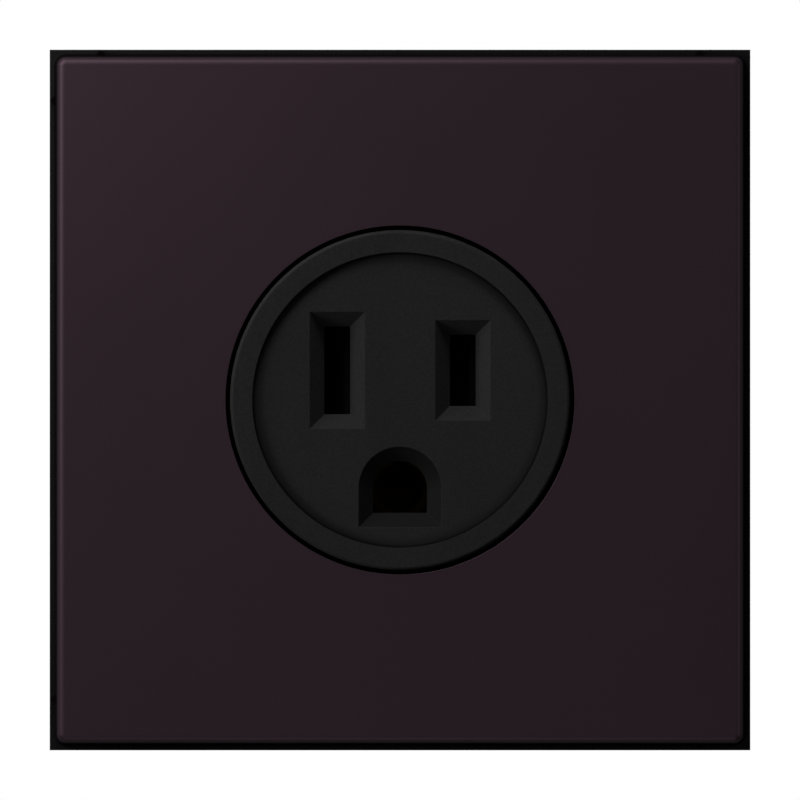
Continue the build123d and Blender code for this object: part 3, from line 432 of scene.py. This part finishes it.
# Painted shade and shadow round the recessed disc and in the earth hole's mouth
add_painted_shade(face_plastic)
rim_plastic = moulded_plastic(
    "rim_plastic",
    dark=(0.0015,) * 3,
    light=(0.0028,) * 3,
    roughness=(0.5, 0.65),
    grain_per_mm=5.0,
    grain_mm=0.006,
    specular=0.08,
    edge_mm=0.10,
)
shutter_plastic = moulded_plastic(
    "shutter_plastic",
    dark=(0.0006,) * 3,
    light=(0.0013,) * 3,
    roughness=(0.5, 0.6),
    grain_per_mm=5.0,
    grain_mm=0.005,
    specular=0.04,
    edge_mm=0.08,
)
housing_plastic = moulded_plastic(
    "housing_plastic",
    dark=(0.030, 0.031, 0.033),
    light=(0.048, 0.049, 0.052),
    roughness=(0.48, 0.62),
    grain_per_mm=3.0,
    grain_mm=0.012,
    specular=0.4,
    edge_mm=0.2,
)
zinc_sheet = stamped_metal(
    "zinc_sheet",
    dark=ZINC_DARK,
    light=ZINC_LIGHT,
    roughness=(0.34, 0.46),
    stretch=(1, 1, 0.06),
    edge_mm=0.12,
    tint=ZINC_TINT,
)
zinc_part = stamped_metal(
    "zinc_part",
    dark=ZINC_DARK,
    light=ZINC_LIGHT,
    roughness=(0.3, 0.42),
    stretch=(1, 0.08, 1),
    edge_mm=0.08,
    tint=ZINC_TINT,
)
brass_strip = stamped_metal(
    "brass_strip",
    dark=BRASS_DARK,
    light=BRASS_LIGHT,
    roughness=(0.26, 0.4),
    stretch=(1, 0.06, 1),
    edge_mm=0.08,
)

finishes = {
    "cover_plate": lacquer,
    "carrier_frame": rim_plastic,
    "receptacle_face": face_plastic,
    "shutter_base": shutter_plastic,
    "shutter_slider": shutter_plastic,
    "contact_block": housing_plastic,
    "terminal_block": housing_plastic,
    "support_ring": zinc_sheet,
    "hot_contact": brass_strip,
    "neutral_contact": brass_strip,
    "earth_contact": brass_strip,
    "bonding_rivet": zinc_part,
    "hot_clamp": zinc_part,
    "neutral_clamp": zinc_part,
    "earth_clamp": zinc_part,
    "right_claw": zinc_part,
    "left_claw": zinc_part,
    "right_claw_pin": zinc_part,
    "left_claw_pin": zinc_part,
    "housing_screws": zinc_part,
    "shutter_spring": zinc_part,
}


def paint(node, material):
    """Give a CAD node its finished material."""
    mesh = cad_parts[node].data
    mesh.materials.clear()
    mesh.materials.append(material)


for node, material in finishes.items():
    paint(node, material)

# ---- New pieces: the coil spring and the threaded screws -----------------------------------------


def mesh_object(name, vertices, faces, material, smooth=True):
    """A mesh object from vertices and faces."""
    mesh = bpy.data.meshes.new(name)
    mesh.from_pydata(vertices, [], faces)
    mesh.validate()
    for polygon in mesh.polygons:
        polygon.use_smooth = smooth
    mesh.materials.append(material)
    piece = bpy.data.objects.new(name, mesh)
    bpy.context.scene.collection.objects.link(piece)
    return piece


def coil_centre(turn, start, end):
    """Where the wire's centre line has got to along X after a number of turns."""
    both_closed = 4 * WIRE_RADIUS * CLOSED_TURNS
    closed_so_far = min(turn, CLOSED_TURNS) + max(turn - (COIL_TURNS - CLOSED_TURNS), 0.0)
    free_share = (turn - CLOSED_TURNS) / (COIL_TURNS - 2 * CLOSED_TURNS)
    free_share = min(max(free_share, 0.0), 1.0)
    return start + 2 * WIRE_RADIUS * closed_so_far + (end - start - both_closed) * free_share


def coil_spring():
    """A compression spring with closed ends, in the space of its CAD sleeve."""
    low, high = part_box("shutter_spring")
    middle = (low + high) / 2
    radius = (high.z - low.z) / 2 - WIRE_RADIUS
    along = Vector((1, 0, 0))
    steps = int(COIL_TURNS * STEPS_PER_TURN)
    vertices, faces = [], []
    for i in range(steps + 1):
        turn = COIL_TURNS * i / steps
        x = coil_centre(turn, low.x + WIRE_RADIUS, high.x - WIRE_RADIUS)
        outward = Vector((0, cos(2 * pi * turn), sin(2 * pi * turn)))
        centre = Vector((x, middle.y, middle.z)) + outward * radius
        for k in range(WIRE_SIDES):
            around = 2 * pi * k / WIRE_SIDES
            vertices.append(centre + (outward * cos(around) + along * sin(around)) * WIRE_RADIUS)
    for i in range(steps):
        for k in range(WIRE_SIDES):
            a, b = i * WIRE_SIDES + k, i * WIRE_SIDES + (k + 1) % WIRE_SIDES
            faces.append((a, b, b + WIRE_SIDES, a + WIRE_SIDES))
    faces.append(tuple(reversed(range(WIRE_SIDES))))
    faces.append(tuple(range(steps * WIRE_SIDES, (steps + 1) * WIRE_SIDES)))
    steel = stamped_metal(
        "spring_steel",
        dark=SPRING_DARK,
        light=SPRING_LIGHT,
        roughness=(0.25, 0.35),
        stretch=(0.2, 1, 1),
        edge_mm=0.02,
    )
    spring = mesh_object("coil_spring", vertices, faces, steel)
    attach(spring, "insert")
    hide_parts("shutter_spring")
    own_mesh(spring)


def thread_rings(start, axis, length, crest, pitch):
    """A right-hand thread as rings of points, from its start to its tapered tip."""
    across = axis.orthogonal().normalized()
    along = axis.cross(across)
    count = int(length / pitch * RINGS_PER_PITCH)
    rings = []
    for i in range(count + 1):
        place = length * i / count
        ring = []
        for k in range(THREAD_SIDES):
            angle = 2 * pi * k / THREAD_SIDES
            phase = (place / pitch - k / THREAD_SIDES) % 1.0
            rise = min(THREAD_FLANK * (1 - abs(2 * phase - 1)), 1.0)
            radius = crest - THREAD_DEPTH * pitch * (1 - rise)
            radius = min(radius, crest - TIP_TAPER + length - place)
            ring.append(start + axis * place + (across * cos(angle) + along * sin(angle)) * radius)
        rings.append(ring)
    return rings


def cut_head(node, axis, cut_place):
    """The CAD screw's mesh up to a plane across its axis, as a closed bmesh."""
    solid = bmesh.new()
    solid.from_mesh(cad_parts[node].data)
    everything = solid.verts[:] + solid.edges[:] + solid.faces[:]
    cut = bmesh.ops.bisect_plane(
        solid, geom=everything, plane_co=cut_place, plane_no=axis, clear_outer=True
    )
    rim = [element for element in cut["geom_cut"] if isinstance(element, bmesh.types.BMEdge)]
    bmesh.ops.edgeloop_fill(solid, edges=rim)
    return solid


def add_thread(solid, rings):
    """Close rings of points into a tube with capped ends, in the same bmesh."""
    tube = [[solid.verts.new(point) for point in ring] for ring in rings]
    for near, far in zip(tube, tube[1:]):
        for k in range(THREAD_SIDES):
            j = (k + 1) % THREAD_SIDES
            solid.faces.new((near[k], near[j], far[j], far[k])).smooth = True
    solid.faces.new(list(reversed(tube[0])))
    solid.faces.new(tube[-1])
    bmesh.ops.recalc_face_normals(solid, faces=solid.faces[:])


def threaded_screw(node, axis, thread, finish):
    """A screw with the CAD one's head and a real thread on its shank; axis runs head to tip."""
    crest, pitch, head_length = thread
    low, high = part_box(node)
    axis = Vector(axis)
    half = axis * abs((high - low).dot(axis)) / 2
    underside = (low + high) / 2 - half + axis * head_length
    solid = cut_head(node, axis, underside + axis * HEAD_OVERLAP)
    root = underside - axis * HEAD_OVERLAP
    thread_length = 2 * half.length - head_length + HEAD_OVERLAP
    add_thread(solid, thread_rings(root, axis, thread_length, crest, pitch))
    mesh = bpy.data.meshes.new(node + "_threaded")
    solid.to_mesh(mesh)
    solid.free()
    mesh.materials.clear()
    mesh.materials.append(turned_metal(node + "_metal", (low + high) / 2, axis, *finish))
    screw = bpy.data.objects.new(node + "_threaded", mesh)
    bpy.context.scene.collection.objects.link(screw)
    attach(screw, node)
    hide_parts(node)


coil_spring()
for side in ("right", "left"):
    threaded_screw(side + "_claw_screw", (0, 1, 0), CLAW_THREAD, ZINC_FINISH)
for pole, slot, axis, finish in (
    ("hot", "brass_screw", (-1, 0, 0), BRASS_FINISH),
    ("neutral", "nickel_screw", (1, 0, 0), NICKEL_FINISH),
    ("earth", "green_screw", (0, 0, 1), GREEN_FINISH),
):
    threaded_screw(pole + "_screw", axis, TERMINAL_THREAD, finish)

# ---- Studio: floor, lights, background and camera ------------------------------------------------


def floor_material():
    """Pale and softly lit to the camera, dim as a light on the outlet, and clear from below."""
    material, tree, shader, coords = new_material("floor")
    cloud = noise(tree, coords, 0.002, detail=2)
    connect(
        tree,
        shader,
        Base_Color=ramp(tree, cloud, [(0.3, FLOOR_DARK), (0.7, FLOOR_LIGHT)]),
        Roughness=0.8,
        Emission_Color=FLOOR_GLOW,
        Emission_Strength=FLOOR_GLOW_STRENGTH,
    )
    dim = add_node(tree, "ShaderNodeBsdfDiffuse", Color=FLOOR_DIM)
    path = tree.nodes.new("ShaderNodeLightPath")
    seen = add_node(tree, "ShaderNodeMixShader", Fac=path.outputs["Is Camera Ray"])
    tree.links.new(dim.outputs["BSDF"], seen.inputs[1])
    tree.links.new(shader.outputs["BSDF"], seen.inputs[2])
    clear = tree.nodes.new("ShaderNodeBsdfTransparent")
    side = tree.nodes.new("ShaderNodeNewGeometry")
    unseen = add_node(tree, "ShaderNodeMath", {"operation": "MAXIMUM"})
    tree.links.new(side.outputs["Backfacing"], unseen.inputs[0])
    tree.links.new(path.outputs["Is Glossy Ray"], unseen.inputs[1])
    mix = add_node(tree, "ShaderNodeMixShader", Fac=unseen.outputs[0])
    tree.links.new(seen.outputs["Shader"], mix.inputs[1])
    tree.links.new(clear.outputs["BSDF"], mix.inputs[2])
    output = next(n for n in tree.nodes if n.type == "OUTPUT_MATERIAL")
    tree.links.new(mix.outputs["Shader"], output.inputs["Surface"])
    return material


def floor():
    """A plain pale floor well below the outlet, which hangs as it would on a wall."""
    level = cad_low.z - FLOOR_DROP
    signs = ((-1, -1), (1, -1), (1, 1), (-1, 1))
    corners = [(x * FLOOR_HALF, y * FLOOR_HALF, level) for x, y in signs]
    material = floor_material()
    mesh_object("floor", corners, [(0, 1, 2, 3)], material, smooth=False)


def area_light(name, place, target, size, power):
    """A soft square light at place, aimed at target."""
    data = bpy.data.lights.new(name, "AREA")
    data.size = size
    data.energy = power
    light = bpy.data.objects.new(name, data)
    light.location = place
    light.rotation_euler = (Vector(target) - Vector(place)).to_track_quat("-Z", "Y").to_euler()
    bpy.context.scene.collection.objects.link(light)
    return light


def studio_lights():
    """Keys that only light surfaces, lights that only show as gloss, and a fill from behind."""
    for name, sideways, upwards in (("left", -1, 0), ("top", 0, 1)):
        place = (sideways * KEY_AWAY, KEY_FORWARD, upwards * KEY_AWAY)
        area_light("key_" + name, place, TARGET, KEY_SIZE, KEY_POWER).visible_glossy = False
    for name, place, power in GLOSS_LIGHTS:
        area_light("gloss_" + name, place, TARGET, GLOSS_SIZE, power).visible_diffuse = False
    corner = area_light("corner", CORNER_PLACE, CORNER_TARGET, CORNER_SIZE, CORNER_POWER)
    corner.visible_diffuse = False
    area_light("back_fill", BACK_PLACE, BACK_TARGET, BACK_SIZE, BACK_POWER)


def studio_world():
    """White to the camera; to the outlet dark straight in front and at the sides, bright behind."""
    world = bpy.data.worlds.new("studio")
    bpy.context.scene.world = world
    world.use_nodes = True
    tree = world.node_tree
    tree.nodes.clear()
    direction = tree.nodes.new("ShaderNodeTexCoord").outputs["Generated"]
    parts = add_node(tree, "ShaderNodeSeparateXYZ", Vector=direction)
    around = add_node(tree, "ShaderNodeMapRange", Value=parts.outputs["Y"])
    around.inputs["From Min"].default_value = -1.0
    around.inputs["From Max"].default_value = 1.0
    stops = [(position, (grey,) * 3) for position, grey in WORLD_GREYS]
    strength = ramp(tree, around.outputs["Result"], stops)
    lighting = add_node(tree, "ShaderNodeBackground", Color=strength, Strength=1.0)
    white = add_node(tree, "ShaderNodeBackground", Color=(1, 1, 1, 1), Strength=1.0)
    path = tree.nodes.new("ShaderNodeLightPath")
    mix = add_node(tree, "ShaderNodeMixShader", Fac=path.outputs["Is Camera Ray"])
    tree.links.new(lighting.outputs[0], mix.inputs[1])
    tree.links.new(white.outputs[0], mix.inputs[2])
    output = tree.nodes.new("ShaderNodeOutputWorld")
    tree.links.new(mix.outputs[0], output.inputs["Surface"])


def camera():
    """A very long lens straight in front, so that the view is all but parallel."""
    view_width = (cad_high.x - cad_low.x) * VIEW_MARGIN
    distance = view_width * LENS / SENSOR
    data = bpy.data.cameras.new("camera")
    data.lens = LENS
    data.sensor_width = SENSOR
    data.clip_end = FAR_CLIP
    holder = bpy.data.objects.new("camera", data)
    holder.location = (0, RIM_FRONT - distance, 0)
    holder.rotation_euler = (radians(90), 0, 0)
    bpy.context.scene.collection.objects.link(holder)
    bpy.context.scene.camera = holder


floor()
studio_world()
studio_lights()
camera()
bpy.context.scene.view_settings.view_transform = "Standard"
